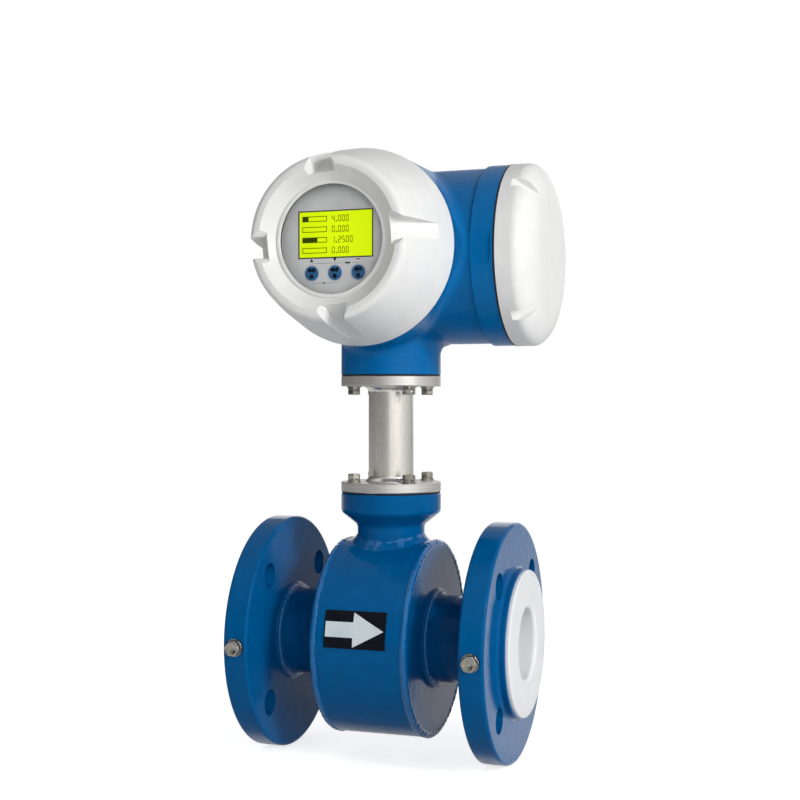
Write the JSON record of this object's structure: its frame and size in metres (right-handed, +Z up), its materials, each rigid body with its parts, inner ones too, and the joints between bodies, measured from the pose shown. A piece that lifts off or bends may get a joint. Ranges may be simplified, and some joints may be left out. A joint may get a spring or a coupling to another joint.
{
  "type": "electromagnetic flow meter",
  "caption": "Flanged electromagnetic flow meter: lined tube with coil housing, stainless neck, and a two-chamber converter with a round display and screw covers.",
  "frame": {"origin": "on the axis of the flow bore, midway between the liner faces and below the neck", "axes": "+X along the flow, from inlet to outlet; the display looks to -Y; +Z up the neck to the converter"},
  "size_m": [0.2176, 0.2072, 0.4178],
  "materials": {
    "blue_steel_paint": "glossy thick blue paint",
    "blue_cast_paint": "smooth semi-gloss blue paint on cast aluminium",
    "white_cast_paint": "semi-gloss white powder coat on cast aluminium",
    "stainless": "turned and brushed stainless steel",
    "zinc_steel": "bright plated steel",
    "ptfe": "smooth white PTFE",
    "black_rubber": "matt",
    "clear_glass": "polished",
    "panel_grey": "printed film, satin",
    "case_grey": "moulded, satin",
    "display_yellow": "lit from behind",
    "key_blue": "smooth lens",
    "board_green": "solder resist",
    "copper_winding": "enamelled wire",
    "soft_iron": "plain",
    "lead_sleeve": "sleeve",
    "terminal_plastic": "moulded",
    "nickel_brass": "nickel plated",
    "arrow_black": "satin film",
    "arrow_white": "satin film"
  },
  "bodies": {
    "meter": {"board_posts": "zinc_steel", "board_screws": "zinc_steel", "coil_housing": "blue_steel_paint", "coil_windings": "copper_winding", "converter_housing": "blue_cast_paint", "display_case": "case_grey", "display_panel": "panel_grey", "display_posts": "zinc_steel", "earth_screws": "zinc_steel", "earth_washers": "zinc_steel", "electrode_insulators": "ptfe", "electrode_nuts": "stainless", "electrodes": "stainless", "flow_arrow": "arrow_white", "flow_arrow_plate": "arrow_black", "gland_bodies": "nickel_brass", "gland_nuts": "nickel_brass", "gland_seals": "black_rubber", "gland_washers": "black_rubber", "housing_neck": "blue_steel_paint", "inlet_flange": "blue_steel_paint", "lcd_module": "display_yellow", "lead_bundle": "lead_sleeve", "lower_neck_flange": "stainless", "lower_neck_gasket": "black_rubber", "lower_neck_plain_washers": "zinc_steel", "lower_neck_screws": "zinc_steel", "lower_neck_spring_washers": "zinc_steel", "main_board": "board_green", "measuring_tube": "blue_steel_paint", "neck_tube": "stainless", "optical_keys": "key_blue", "outlet_flange": "blue_steel_paint", "pipe_liner": "ptfe", "pole_pieces": "soft_iron", "power_board": "board_green", "return_yoke": "soft_iron", "terminal_block": "terminal_plastic", "terminal_plate": "terminal_plastic", "terminal_plate_screws": "zinc_steel", "terminal_screws": "zinc_steel", "upper_neck_flange": "stainless", "upper_neck_gasket": "black_rubber", "upper_neck_plain_washers": "zinc_steel", "upper_neck_screws": "zinc_steel", "upper_neck_spring_washers": "zinc_steel"},
    "display_seal": {"display_cover_seal": "black_rubber"},
    "display_cover": {"display_cover": "white_cast_paint", "window_glass": "clear_glass", "window_gasket": "black_rubber", "window_retaining_ring": "case_grey"},
    "terminal_seal": {"terminal_cover_seal": "black_rubber"},
    "terminal_cover": {"terminal_cover": "white_cast_paint"}
  },
  "joints": [
    {"name": "display_cover_travel", "type": "slide", "parent": "meter", "child": "display_seal", "axis": [0, -1, 0], "range_m": [0, 0.0141]},
    {"name": "display_cover_turn", "type": "hinge", "parent": "display_seal", "child": "display_cover", "pos_m": [0, 0, 0.2692], "axis": [0, -1, 0], "range_deg": [0, 2520]},
    {"name": "terminal_cover_travel", "type": "slide", "parent": "meter", "child": "terminal_seal", "axis": [1, 0, 0], "range_m": [0, 0.0081]},
    {"name": "terminal_cover_turn", "type": "hinge", "parent": "terminal_seal", "child": "terminal_cover", "pos_m": [0, 0, 0.2664], "axis": [1, 0, 0], "range_deg": [0, 1440]}
  ],
  "couplings": [
    {"joint": "display_cover_travel", "follows": "display_cover_turn", "m_per_rad": 0.00031831},
    {"joint": "terminal_cover_travel", "follows": "terminal_cover_turn", "m_per_rad": 0.00031831}
  ]
}
